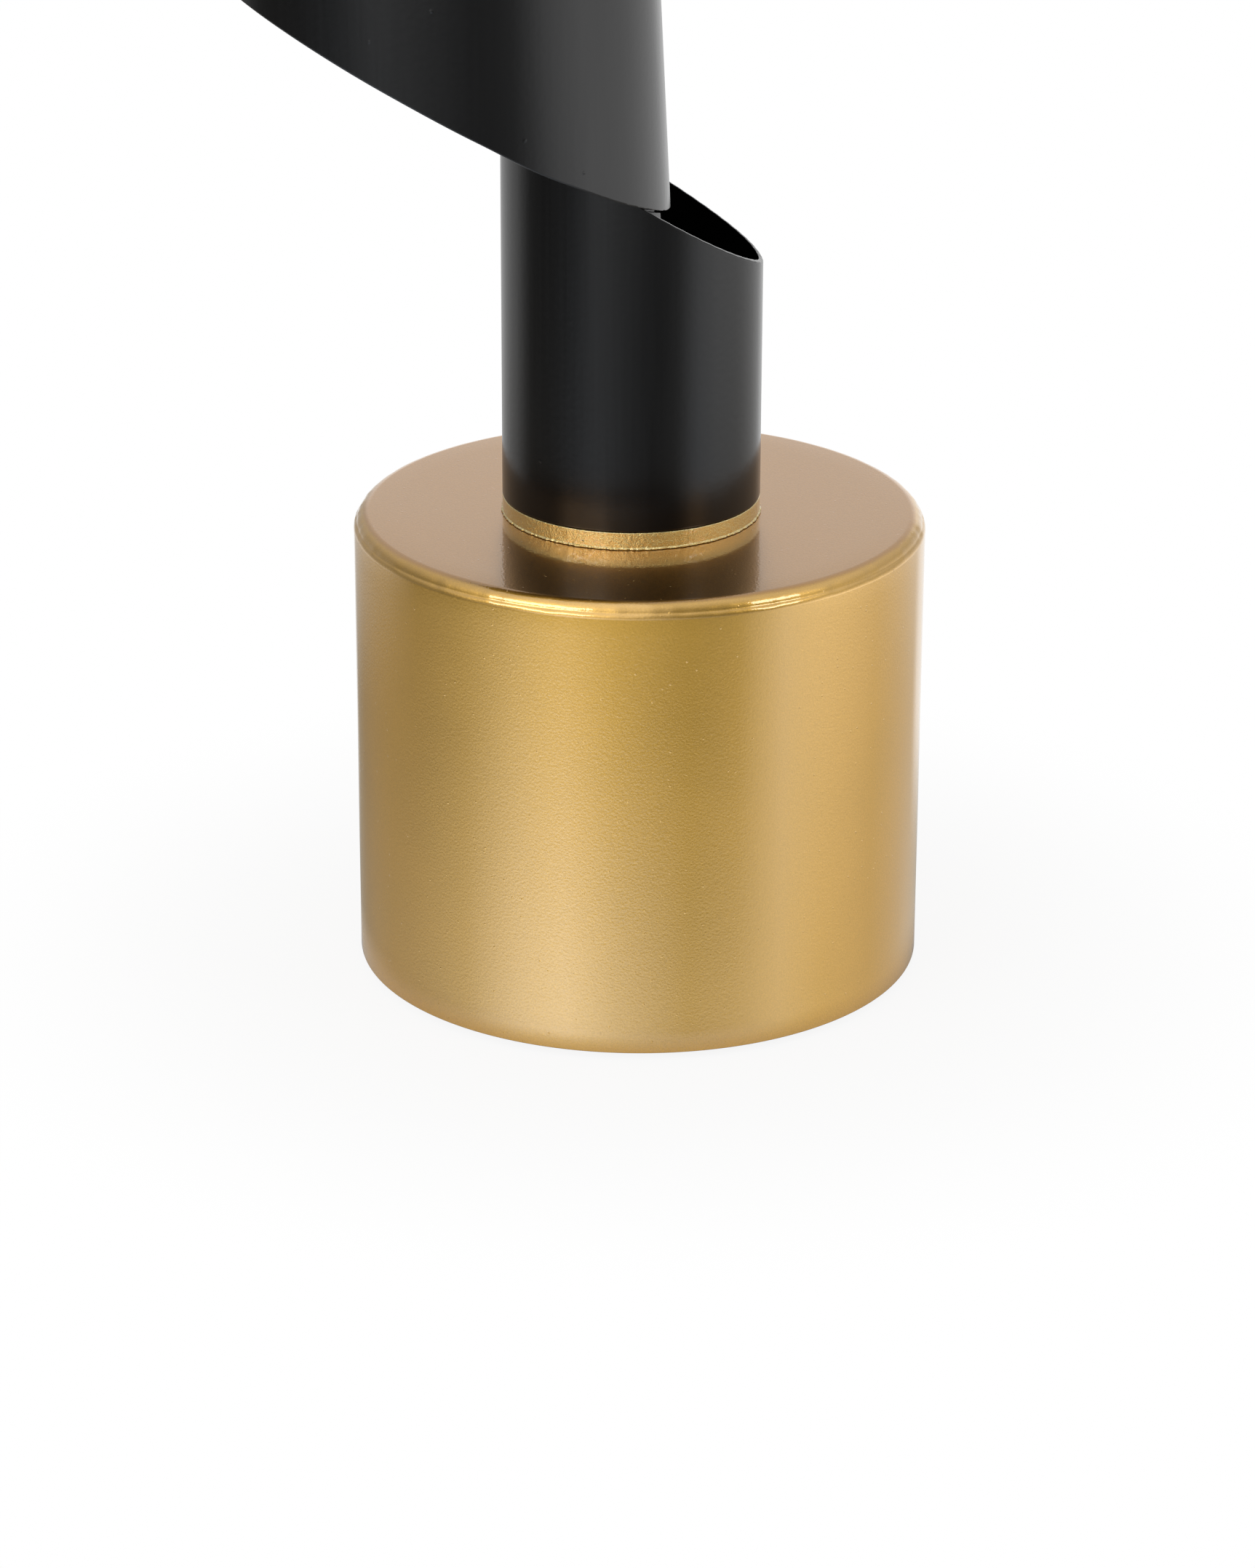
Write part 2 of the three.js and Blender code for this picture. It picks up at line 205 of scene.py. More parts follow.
def weighted(tree, *terms):
    """The sum of (value, weight) pairs."""
    total = None
    for value, weight in terms:
        term = combine(tree, "MULTIPLY", value, weight)
        total = term if total is None else combine(tree, "ADD", total, term)
    return total


def nibs(tree, vector, scale, size, share):
    """Dust grains under the paint: round bumps in a share of the cells."""
    cells = add_node(tree, "ShaderNodeTexVoronoi", scale=scale)
    tree.links.new(vector, cells.inputs["Vector"])
    grain = remap(tree, cells.outputs["Distance"], 0.0, size, 1.0, 0.0, smooth=True)
    split = tree.nodes.new("ShaderNodeSeparateColor")
    tree.links.new(cells.outputs["Color"], split.inputs["Color"])
    chosen = combine(tree, "LESS_THAN", split.outputs["Red"], share)
    return combine(tree, "MULTIPLY", grain, chosen)


def bump(tree, height, distance):
    made = add_node(tree, "ShaderNodeBump", strength=1.0, distance=distance)
    tree.links.new(height, made.inputs["Height"])
    return made.outputs["Normal"]


def mix_color(tree, factor, first, second):
    made = tree.nodes.new("ShaderNodeMix")
    made.data_type = "RGBA"
    tree.links.new(factor, made.inputs["Factor"])
    inputs = [socket for socket in made.inputs if socket.type == "RGBA"]
    for socket, value in zip(inputs, (first, second)):
        if isinstance(value, tuple):
            socket.default_value = (*value, 1)
        else:
            tree.links.new(value, socket)
    return next(socket for socket in made.outputs if socket.type == "RGBA")


def set_color(tree, value, dark, light, shader):
    tree.links.new(mix_color(tree, value, dark, light), shader.inputs["Base Color"])


def top_shaded(color):
    """The lacquer's colour with painted shade, darker where it lies level on top."""
    return tuple(share * part for share, part in zip(TOP_SHADE_SHARES, color))


def gold_lacquer(name, dark, light, roughness, peel_scale, peel_depth, grain_depth):
    """Metallic gold under a glossy clear coat with orange peel and dust grains.

    It is smoother where it lies level, and darker there in colour, as painted shade.
    """
    material, tree, shader = new_material(name)
    place = coordinates(tree)
    flake = noise(tree, place, scale=4200.0)
    cloud = noise(tree, place, scale=38.0, detail=3.0, roughness=0.55)
    fine_tone = remap(tree, flake, FINE_LOW, FINE_HIGH, to_high=0.8)
    soft_tone = remap(tree, cloud, SOFT_LOW, SOFT_HIGH, to_high=0.2)
    tone = combine(tree, "ADD", fine_tone, soft_tone)
    facing = tree.nodes.new("ShaderNodeNewGeometry")
    split = tree.nodes.new("ShaderNodeSeparateXYZ")
    tree.links.new(facing.outputs["Normal"], split.inputs["Vector"])
    level = remap(tree, split.outputs["Z"], LEVEL_FROM, LEVEL_FULL, smooth=True)
    sprayed = mix_color(tree, tone, dark, light)
    # Painted shade: where the lacquer faces up, its colour is darker than on the side.
    painted_top_shade = mix_color(tree, tone, top_shaded(dark), top_shaded(light))
    tree.links.new(mix_color(tree, level, sprayed, painted_top_shade), shader.inputs["Base Color"])
    shader.inputs["Metallic"].default_value = 1.0
    rougher = roughness + LACQUER_VARIATION
    grain = remap(tree, cloud, SOFT_LOW, SOFT_HIGH, to_low=roughness, to_high=rougher)
    settled = weighted(tree, (grain, 1.0), (level, -LEVEL_SMOOTHING))
    tree.links.new(settled, shader.inputs["Roughness"])
    peel = noise(tree, place, scale=peel_scale, detail=1.6, roughness=0.45)
    dust = nibs(tree, place, scale=700.0, size=0.15, share=0.3)
    surface = weighted(tree, (peel, 1.0), (dust, 2.6))
    rough_surface = combine(tree, "ADD", surface, flake)
    tree.links.new(bump(tree, rough_surface, grain_depth), shader.inputs["Normal"])
    tree.links.new(bump(tree, surface, peel_depth), shader.inputs["Coat Normal"])
    shader.inputs["Coat Weight"].default_value = 1.0
    shader.inputs["Coat Roughness"].default_value = 0.03
    shader.inputs["Coat IOR"].default_value = 2.0
    return material


def black_paint():
    """Satin black spray paint, with dust grains and faint strokes along the tubes."""
    material, tree, shader = new_material("satin_black")
    place = coordinates(tree)
    strokes = noise(tree, coordinates(tree, stretch=(1, 1, 0.02)), scale=1500.0)
    mottle = noise(tree, place, scale=900.0)
    cloud = noise(tree, place, scale=45.0)
    set_color(tree, cloud, (0.0022, 0.0022, 0.0023), (0.0032, 0.0032, 0.0033), shader)
    satin = remap(tree, strokes, FINE_LOW, FINE_HIGH, to_low=0.205, to_high=0.235)
    tree.links.new(satin, shader.inputs["Roughness"])
    dust = nibs(tree, place, scale=200.0, size=0.09, share=0.16)
    surface = weighted(tree, (mottle, 0.7), (strokes, 0.2), (dust, 2.5))
    tree.links.new(bump(tree, surface, distance=0.000016), shader.inputs["Normal"])
    shader.inputs["IOR"].default_value = 1.5
    return material


def steel(name, dark, light, low_roughness, high_roughness):
    """Bare or plated steel with fine turning marks and specks."""
    material, tree, shader = new_material(name)
    turned = noise(tree, coordinates(tree, stretch=(1, 1, 14)), scale=320.0, detail=3.0)
    speck = noise(tree, coordinates(tree), scale=1800.0)
    tone = weighted(tree, (turned, 0.6), (speck, 0.4))
    set_color(tree, remap(tree, tone, SOFT_LOW, SOFT_HIGH), dark, light, shader)
    shader.inputs["Metallic"].default_value = 1.0
    grain = remap(tree, tone, SOFT_LOW, SOFT_HIGH, low_roughness, high_roughness)
    tree.links.new(grain, shader.inputs["Roughness"])
    tree.links.new(bump(tree, tone, distance=0.00002), shader.inputs["Normal"])
    return material


def cast_filling():
    """Grey, sandy casting with small pits."""
    material, tree, shader = new_material("cast_filling")
    place = coordinates(tree)
    sand = noise(tree, place, scale=700.0, detail=4.0, roughness=0.6)
    cloud = noise(tree, place, scale=60.0, detail=3.0)
    pits = nibs(tree, place, scale=260.0, size=0.22, share=0.3)
    tone = remap(tree, weighted(tree, (sand, 0.6), (cloud, 0.4)), SOFT_LOW, SOFT_HIGH)
    set_color(tree, tone, (0.20, 0.19, 0.175), (0.33, 0.32, 0.295), shader)
    grain = remap(tree, sand, SOFT_LOW, SOFT_HIGH, to_low=0.82, to_high=0.95)
    tree.links.new(grain, shader.inputs["Roughness"])
    relief = weighted(tree, (sand, 1.0), (pits, -1.4))
    tree.links.new(bump(tree, relief, distance=0.00025), shader.inputs["Normal"])
    return material


def black_felt():
    """Short, tangled black fibres."""
    material, tree, shader = new_material("black_felt")
    place = coordinates(tree)
    fibre = noise(tree, place, scale=2600.0, detail=4.0, roughness=0.7)
    tangle = noise(tree, place, scale=420.0, detail=3.0, roughness=0.6)
    nap = weighted(tree, (fibre, 0.6), (tangle, 0.4))
    tone = remap(tree, nap, SOFT_LOW, SOFT_HIGH)
    set_color(tree, tone, (0.008, 0.008, 0.008), (0.03, 0.029, 0.028), shader)
    grain = remap(tree, fibre, SOFT_LOW, SOFT_HIGH, to_low=0.9, to_high=1.0)
    tree.links.new(grain, shader.inputs["Roughness"])
    tree.links.new(bump(tree, nap, distance=0.0004), shader.inputs["Normal"])
    shader.inputs["Sheen Weight"].default_value = 0.25
    shader.inputs["Sheen Roughness"].default_value = 0.6
    return material


GOLD = gold_lacquer(
    "gold_lacquer", dark=(0.75, 0.435, 0.076), light=(0.94, 0.548, 0.100), roughness=0.35,
    peel_scale=2400.0, peel_depth=0.000012, grain_depth=0.000016,
)
RING_GOLD = gold_lacquer(
    "gold_ring", dark=(0.92, 0.63, 0.18), light=(1.0, 0.88, 0.40), roughness=0.33,
    peel_scale=1200.0, peel_depth=0.00010, grain_depth=0.00014,
)
BLACK = black_paint()
ZINC = steel(
    "zinc_steel", dark=(0.46, 0.47, 0.48), light=(0.62, 0.63, 0.65),
    low_roughness=0.3, high_roughness=0.42,
)
PLAIN = steel(
    "plain_steel", dark=(0.17, 0.17, 0.175), light=(0.30, 0.30, 0.31),
    low_roughness=0.45, high_roughness=0.6,
)
FILLING = cast_filling()
FELT = black_felt()


# Meshes

def arc(centre, middle, radius, start, end, steps):
    """Points (radius, height) on an arc about (centre, middle), between two angles in degrees."""
    angles = [math.radians(start + (end - start) * step / steps) for step in range(steps + 1)]
    return [(centre + radius * math.cos(a), middle + radius * math.sin(a)) for a in angles]


def lathe(profile, segments, wobble=None):
    """Turns a list of (radius, height) pairs about Z.

    A profile that starts on the axis closes to a point at both ends, and any other joins up.
    """
    closed = profile[0][0] > 0
    points, rows = [], []
    for index, (radius, height) in enumerate(profile):
        if radius == 0:
            rows.append([len(points)] * segments)
            points.append((0.0, 0.0, height))
            continue
        rows.append(list(range(len(points), len(points) + segments)))
        for step in range(segments):
            angle = TAU * step / segments
            r, z = wobble(index, angle, radius, height) if wobble else (radius, height)
            points.append((r * math.cos(angle), r * math.sin(angle), z))
    faces = []
    pairs = list(zip(rows, rows[1:])) + ([(rows[-1], rows[0])] if closed else [])
    for lower, upper in pairs:
        for step in range(segments):
            following = (step + 1) % segments
            corners = [lower[step], lower[following], upper[following], upper[step]]
            faces.append(list(dict.fromkeys(corners)))
    return points, faces


def add_piece(name, shape, place, material, body, replaced):
    """Makes a piece from a shape's points, in millimetres, and faces, in the stead of a node."""
    points, faces = shape
    mesh = bpy.data.meshes.new(name)
    mesh.from_pydata([place @ (Vector(point) * MM) for point in points], [], faces)
    mesh.materials.append(material)
    work = bmesh.new()
    work.from_mesh(mesh)
    bmesh.ops.recalc_face_normals(work, faces=work.faces)
    for face in work.faces:
        face.smooth = True
    for edge in work.edges:
        edge.smooth = edge.calc_face_angle(0.0) < SHARP_ANGLE
    work.to_mesh(mesh)
    work.free()
    piece = bpy.data.objects.new(name, mesh)
    bpy.context.scene.collection.objects.link(piece)
    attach(piece, body)
    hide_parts(replaced)
    return piece


def ripple(angle, waves):
    """The waves' height at an angle, in millimetres."""
    return sum(size * math.sin(count * angle + shift) for count, shift, size in waves)


def spread(low, high, count):
    """Even steps from one value to another, both included."""
    return [low + (high - low) * step / count for step in range(count + 1)]


def drum_edge():
    """The drum's top edge: a round, a fine crease and a second, smaller round.

    Together they are as wide as one fillet.
    """
    a, b, crease = CREASE_LOW, CREASE_HIGH, CREASE_ROUND
    across = DRUM_FILLET - crease * (math.cos(a) - math.cos(b))
    down = DRUM_FILLET - crease * (math.sin(b) - math.sin(a))
    scale = math.cos(a) * math.sin(b) - (1 - math.cos(b)) * (1 - math.sin(a))
    upper = (across * math.sin(b) - down * (1 - math.cos(b))) / scale
    lower = (down * math.cos(a) - across * (1 - math.sin(a))) / scale
    low, high = math.degrees(a), math.degrees(b)
    first = arc(DRUM_RADIUS - DRUM_FILLET, DRUM_TOP - upper, upper, 90, low, steps=18)
    r, z = first[-1]
    middle = (r + crease * math.cos(a), z + crease * math.sin(a))
    hollow = arc(*middle, -crease, low, high, steps=6)
    r, z = hollow[-1]
    last = arc(r - lower * math.cos(b), z - lower * math.sin(b), lower, high, 0, steps=14)
    return first + hollow[1:] + last[1:]


def drum_shape():
    inner = DRUM_RADIUS - DRUM_WALL
    inner_fillet = DRUM_FILLET - DRUM_WALL
    inner_top = DRUM_TOP - DRUM_WALL
    wall_low, below_top = DRUM_LOW + 4, 6
    edge_strength = 0.7
    top = [(r, DRUM_TOP) for r in (0, 8, 16, 24, 30, 36, 42)]
    outside = drum_edge()
    wall = [(DRUM_RADIUS, z) for z in spread(DRUM_TOP - below_top, wall_low, count=12)]
    lip = arc(DRUM_RADIUS - DRUM_LIP, DRUM_LOW + DRUM_LIP, DRUM_LIP, 0, -90, steps=6)
    lip += arc(inner + DRUM_LIP, DRUM_LOW + DRUM_LIP, DRUM_LIP, 270, 180, steps=6)
    inside = [(inner, z) for z in spread(wall_low, inner_top - below_top, count=6)]
    inside += arc(inner - inner_fillet, inner_top - inner_fillet, inner_fillet, 0, 90, steps=8)
    first, last = len(top), len(top) + len(outside) - 1

    def gathered(index, angle, radius, height):
        """Lacquer that gathered unevenly along the top edge, in or out at 45 degrees."""
        if not first < index < last:
            return (radius, height)
        share = edge_strength * math.sin(math.pi * (index - first) / (last - first)) ** 2
        shift = share * ripple(angle, DRUM_EDGE_WAVES)
        return (radius + shift, height + shift)

    profile = top + outside + wall + lip + inside + [(0, inner_top)]
    return lathe(profile, DRUM_STEPS, gathered)


def pad_shape():
    rim, rim_width = PAD_RADIUS - PAD_ROUND, 1

    def fray(index, angle, radius, height):
        frayed = radius > PAD_RADIUS - rim_width
        return (radius + (ripple(angle, PAD_WAVES) if frayed else 0), height)

    edge = arc(rim, PAD_ROUND, PAD_ROUND, -90, 0, steps=5)
    edge += arc(rim, PAD_THICKNESS - PAD_ROUND, PAD_ROUND, 0, 90, steps=5)
    under = [(r, 0.0) for r in (0, 10, 20, 30, 40)]
    above = [(r, PAD_THICKNESS) for r in (40, 20, 0)]
    return lathe(under + edge + above, PAD_STEPS, fray)


def collar_shape():
    bead = [(STEM_RADIUS + out, COLLAR_LOW + up) for out, up in COLLAR_BEAD]
    notch_depth, notch_up, wall_up, below_top = 0.02, 0.36, 0.6, 0.2
    wall = [(STEM_RADIUS - notch_depth, COLLAR_LOW + notch_up)]
    levels = spread(COLLAR_LOW + wall_up, COLLAR_HIGH - below_top, count=7)
    wall += [(STEM_RADIUS, z) for z in levels]
    shoulder = (STEM_RADIUS - COLLAR_ROUND, COLLAR_HIGH - COLLAR_ROUND)
    wall += arc(*shoulder, COLLAR_ROUND, 0, 90, steps=4)
    spigot = [
        (SPIGOT_RADIUS, COLLAR_HIGH),
        (SPIGOT_RADIUS, SPIGOT_HIGH - SPIGOT_CHAMFER),
        (SPIGOT_RADIUS - SPIGOT_CHAMFER, SPIGOT_HIGH),
    ]
    bore = [(ROD_HOLE_RADIUS, SPIGOT_HIGH), (ROD_HOLE_RADIUS, COLLAR_LOW)]
    wall_depth, bead_rise, wall_share, twist = 0.2, 0.5, 0.10, 0.01

    def rough(index, angle, radius, height):
        """The bead is ragged, but for its foot's level, and the wall slightly uneven."""
        if index < len(bead):
            rise = bead_rise * ripple(angle + 1, COLLAR_WAVES) if index else 0
            return (radius + ripple(angle, COLLAR_WAVES), height + rise)
        if radius >= STEM_RADIUS - wall_depth:
            return (radius + wall_share * ripple(angle + twist * height, COLLAR_WAVES), height)
        return (radius, height)

    return lathe(bead + wall + spigot + bore, COLLAR_STEPS, rough)


def slant_tube(radius, wall, plain_end, cut, wobble):
    """A tube about Z with one square end and one cut by the plane z = cut - CUT_SLOPE * x.

    Its edges are slightly round, and the slanted edge departs from the plane by the wobble.
    """
    inner = radius - wall
    side = 1 if cut > plain_end else -1
    soft, bend = EDGE_ROUND, 0.3 * EDGE_ROUND
    near_edge, off_edge = 0.2, 1.2
    points, rings = [], []

    def square(offset):
        return lambda r, angle: plain_end + side * offset

    def slanted(offset):
        def height(r, angle):
            return cut - CUT_SLOPE * r * math.cos(angle) - side * (offset + wobble(angle))
        return height

    def between(share):
        low, high = square(soft), slanted(soft)
        return lambda r, angle: (1 - share) * low(r, angle) + share * high(r, angle)

    def ring(r, height):
        rings.append(list(range(len(points), len(points) + TUBE_STEPS)))
        for step in range(TUBE_STEPS):
            angle = TAU * step / TUBE_STEPS
            points.append((r * math.cos(angle), r * math.sin(angle), height(r, angle)))

    reaches = [soft, soft + near_edge, soft + off_edge]
    wall_levels = [square(reach) for reach in reaches]
    wall_levels += [between(share) for share in spread(0.1, 0.9, count=TUBE_ROWS)]
    wall_levels += [slanted(reach) for reach in reversed(reaches)]
    ring(inner + soft, square(0))
    ring(radius - soft, square(0))
    ring(radius - bend, square(bend))
    for height in wall_levels:
        ring(radius, height)
    ring(radius - bend, slanted(bend))
    ring(radius - soft, slanted(0))
    ring(inner + soft, slanted(0))
    ring(inner + bend, slanted(bend))
    for height in reversed(wall_levels):
        ring(inner, height)
    ring(inner + bend, square(bend))
    faces = []
    for lower, upper in zip(rings, rings[1:] + rings[:1]):
        for step in range(TUBE_STEPS):
            following = (step + 1) % TUBE_STEPS
            faces.append([lower[step], lower[following], upper[following], upper[step]])
    return points, faces


def pan_shape():
    corner = PAN_RADIUS - PAN_CORNER
    level = PAN_UNDER + PAN_CORNER
    lip = PAN_UNDER + PAN_LIP
    half = PAN_WALL / 2
    rings = (STUD_HOLE_RADIUS, 10, 22)
    profile = [(r, PAN_UNDER) for r in rings]
    profile += arc(corner, level, PAN_CORNER, -90, 0, steps=12)
    profile += arc(PAN_RADIUS - half, lip - half, half, 0, 180, steps=10)
    profile += arc(corner, level, PAN_CORNER - PAN_WALL, 0, -90, steps=12)
    profile += [(r, PAN_UNDER + PAN_WALL) for r in reversed(rings)]
    return lathe(profile, PAN_STEPS)


def spike_shape():
    profile = [(0, STUD_LOW), (STUD_RADIUS - STUD_CHAMFER, STUD_LOW)]
    profile += [(STUD_RADIUS, STUD_LOW + STUD_CHAMFER), (STUD_RADIUS, FLANGE_LOW)]
    profile += [(FLANGE_RADIUS - FLANGE_CHAMFER, FLANGE_LOW)]
    profile += [(FLANGE_RADIUS, FLANGE_LOW + FLANGE_CHAMFER)]
    soft = FLANGE_ROUND
    profile += arc(FLANGE_RADIUS - soft, FLANGE_HIGH - soft, soft, 0, 90, steps=6)
    profile += arc(SPIKE_RADIUS + soft, FLANGE_HIGH + soft, soft, 270, 180, steps=6)
    taper_start, taper_end = 0.06, SPIKE_TIP - 0.25
    for share in spread(taper_start, 1.0, count=14):
        taper = SPIKE_RADIUS + (SPIKE_TIP_RADIUS - SPIKE_RADIUS) * share
        profile.append((taper, FLANGE_HIGH + share * (taper_end - FLANGE_HIGH)))
    blunt_share, blunt_drop = 0.6, 0.06
    profile += [(SPIKE_TIP_RADIUS * blunt_share, SPIKE_TIP - blunt_drop), (0, SPIKE_TIP)]
    return lathe(profile, SPIKE_STEPS)


def tube_place():
    """The candle tube's own frame: it leans, and its rim crosses the stem's rim."""
    crossing_y = math.sqrt(STEM_RADIUS ** 2 - CROSSING_X ** 2)
    rim_x = TUBE_RADIUS * math.cos(math.asin(crossing_y / TUBE_RADIUS))
    turn = Matrix.Rotation(-LEAN, 4, "Y")
    rim = turn @ Vector((rim_x, 0, -CUT_SLOPE * rim_x))
    seat_z = STEM_CUT_Z - CUT_SLOPE * CROSSING_X + RIM_GAP
    seat = Vector((STEM_X + CROSSING_X, 0, seat_z))
    return Matrix.Translation((seat - rim) * MM) @ turn


def tube_sag(angle):
    """How far the candle tube's hand-cut foot hangs: a smooth run through the stops."""
    degrees = math.degrees(math.remainder(angle, TAU))
    for (low, first), (high, second) in zip(TUBE_SAG, TUBE_SAG[1:]):
        if low <= degrees <= high:
            share = (1 - math.cos(math.pi * (degrees - low) / (high - low))) / 2
            return first + share * (second - first)


def tube_foot(angle):
    """The sag, with small nicks and paint grains along the front of the edge."""
    front, width = 0.55, 0.45
    off = math.remainder(angle + front, TAU)
    return ripple(angle, TUBE_FOOT_WAVES) * math.exp(-(off / width) ** 2) - tube_sag(angle)


def stem_mouth(angle):
    """The stem's cut lies a little low, most at its right-hand tip, and is slightly uneven."""
    drop, tip_drop, tip_turn, tip_width = 0.25, 0.4, 0.12, 0.3
    tip = math.remainder(angle + tip_turn, TAU)
    low = drop + tip_drop * math.exp(-(tip / tip_width) ** 2)
    return low + ripple(angle, STEM_MOUTH_WAVES)


def tab_shape(side):
    """A tab in the tube's frame, cut to the stem's bore.

    It is flush with the wall below the rim and stepped in above it.
    """
    crossing = math.asin(math.sqrt(STEM_RADIUS ** 2 - CROSSING_X ** 2) / TUBE_RADIUS)
    rim = -CUT_SLOPE * TUBE_RADIUS * math.cos(crossing)
    inner, behind = TUBE_RADIUS - TAB_THICKNESS, TUBE_RADIUS - TUBE_WALL - TAB_GAP
    bore = STEM_RADIUS - STEM_WALL - TAB_GAP
    halvings = 40

    def low(angle):
        return rim - TAB_DROP

    def step(angle):
        return -CUT_SLOPE * TUBE_RADIUS * math.cos(angle) - tube_sag(angle) - TAB_GAP

    def high(angle):
        return rim + TAB_RISE

    def corner(radius, height, angle):
        return Vector((radius * math.cos(angle), side * radius * math.sin(angle), height(angle)))

    def reach(radius, height):
        near, far = TAB_NEAR, TAB_FAR
        for _ in range(halvings):
            middle = (near + far) / 2
            world = TUBE @ (corner(radius, height, middle) * MM) / MM
            if math.hypot(world.x - STEM_X, world.y) < bore:
                near = middle
            else:
                far = middle
        return near

    outline = [
        (inner, low), (TUBE_RADIUS, low), (TUBE_RADIUS, step),
        (behind, step), (behind, high), (inner, high),
    ]
    ends = [reach(radius, height) for radius, height in outline]
    points, faces = [], []
    for column in range(TAB_COLUMNS + 1):
        for (radius, height), end in zip(outline, ends):
            angle = TAB_NEAR + (end - TAB_NEAR) * column / TAB_COLUMNS
            points.append(corner(radius, height, angle))
    count = len(outline)
    for column in range(TAB_COLUMNS):
        for index in range(count):
            following = (index + 1) % count
            here, there = column * count, (column + 1) * count
            faces.append([here + index, here + following, there + following, there + index])
    for column in (0, TAB_COLUMNS):
        start = column * count
        faces.append([start, start + 1, start + 2, start + 3])
        faces.append([start, start + 3, start + 4, start + 5])
    return points, faces


BASE = Matrix.Identity(4)
STEM = Matrix.Translation((STEM_X * MM, 0, 0))
TUBE = tube_place()

add_piece("drum_look", drum_shape(), BASE, GOLD, "stand", "base_drum")
add_piece("pad_look", pad_shape(), BASE, FELT, "stand", "felt_pad")
add_piece("collar_look", collar_shape(), STEM, RING_GOLD, "stand", "neck_collar")
stem_shape = slant_tube(STEM_RADIUS, STEM_WALL, STEM_LOW, STEM_CUT_Z, stem_mouth)
add_piece("stem_look", stem_shape, STEM, BLACK, "stand", "stem_tube")
tube_shape = slant_tube(TUBE_RADIUS, TUBE_WALL, TUBE_LENGTH, 0.0, tube_foot)
add_piece("candle_tube_look", tube_shape, TUBE, BLACK, "stand", "candle_tube")
for name, side in (("joint_tab_front", -1), ("joint_tab_back", 1)):
    tab = add_piece(name + "_look", tab_shape(side), TUBE, BLACK, "stand", name)
    round_off = tab.modifiers.new("round_off", "BEVEL")
    round_off.width = EDGE_ROUND * MM
    round_off.segments = 2
    round_off.limit_method = "ANGLE"
    round_off.angle_limit = math.radians(40)
add_piece("pan_look", pan_shape(), TUBE, GOLD, "candle_pan", "candle_pan")
add_piece("pricket_look", spike_shape(), TUBE, GOLD, "candle_pan", "pricket")

# The nodes that keep their own meshes.
KEPT = {
    "bottom_plate": PLAIN,
    "ballast_core": FILLING,
    "tie_rod": ZINC,
    "tie_washer": ZINC,
    "tie_spring_washer": PLAIN,
    "tie_nut": ZINC,
    "stem_plug": PLAIN,
    "ledge_tab_1": BLACK,
    "ledge_tab_2": BLACK,
    "ledge_tab_3": BLACK,
    "pricket_washer": ZINC,
    "pricket_nut": ZINC,
}
for name, material in KEPT.items():
    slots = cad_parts[name].data.materials
    slots.clear()
    slots.append(material)


# Floor, light and camera

# The floor is a disc just below the object, in metres. The camera sees it as white, mixed with a
# little of its shaded colour near the object. Other rays see it only under and close to the drum.
FLOOR_Z = -0.0002
FLOOR_RADIUS = 4.0
FLOOR_STEPS = 96
FLOOR_COLOR = (0.78, 0.78, 0.78, 1)
FLOOR_ENDS_FROM, FLOOR_ENDS_AT = 0.050, 0.060
FLOOR_SHADE_FROM, FLOOR_SHADE_TO = 0.05, 0.14
FLOOR_LEAST_WHITE = 0.9


def mix_shader(tree, factor, first, second):
    made = tree.nodes.new("ShaderNodeMixShader")
    tree.links.new(factor, made.inputs["Fac"])
    tree.links.new(first, made.inputs[1])
    tree.links.new(second, made.inputs[2])
    return made.outputs["Shader"]


def floor_material():
    """A white floor that keeps a soft shadow. Away from the object only the camera sees it."""
    material = bpy.data.materials.new("floor_white")
    material.use_nodes = True
    tree = material.node_tree
    tree.nodes.clear()
    out = tree.nodes.new("ShaderNodeOutputMaterial")
    path = tree.nodes.new("ShaderNodeLightPath")
    source = tree.nodes.new("ShaderNodeTexCoord")
    far = tree.nodes.new("ShaderNodeVectorMath")
    far.operation = "LENGTH"
    tree.links.new(source.outputs["Object"], far.inputs[0])
    away = far.outputs["Value"]
    lit = add_node(tree, "ShaderNodeBsdfDiffuse", color=FLOOR_COLOR).outputs["BSDF"]
    white = tree.nodes.new("ShaderNodeEmission").outputs["Emission"]
    clear = tree.nodes.new("ShaderNodeBsdfTransparent").outputs["BSDF"]
    ended = remap(tree, away, FLOOR_ENDS_FROM, FLOOR_ENDS_AT, smooth=True)
    unseen = mix_shader(tree, ended, lit, clear)
    pale = remap(
        tree, away, FLOOR_SHADE_FROM, FLOOR_SHADE_TO, to_low=FLOOR_LEAST_WHITE, smooth=True
    )
    shown = mix_shader(tree, pale, lit, white)
    floor = mix_shader(tree, path.outputs["Is Camera Ray"], unseen, shown)
    tree.links.new(floor, out.inputs["Surface"])
    return material


def add_floor():
    points, faces = [(0.0, 0.0, FLOOR_Z)], []
    for step in range(FLOOR_STEPS):
        angle = TAU * step / FLOOR_STEPS
        points.append((FLOOR_RADIUS * math.cos(angle), FLOOR_RADIUS * math.sin(angle), FLOOR_Z))
        faces.append((0, 1 + step, 1 + (step + 1) % FLOOR_STEPS))
    mesh = bpy.data.meshes.new("floor")
    mesh.from_pydata(points, [], faces)
    mesh.materials.append(floor_material())
    floor = bpy.data.objects.new("floor", mesh)
    bpy.context.scene.collection.objects.link(floor)


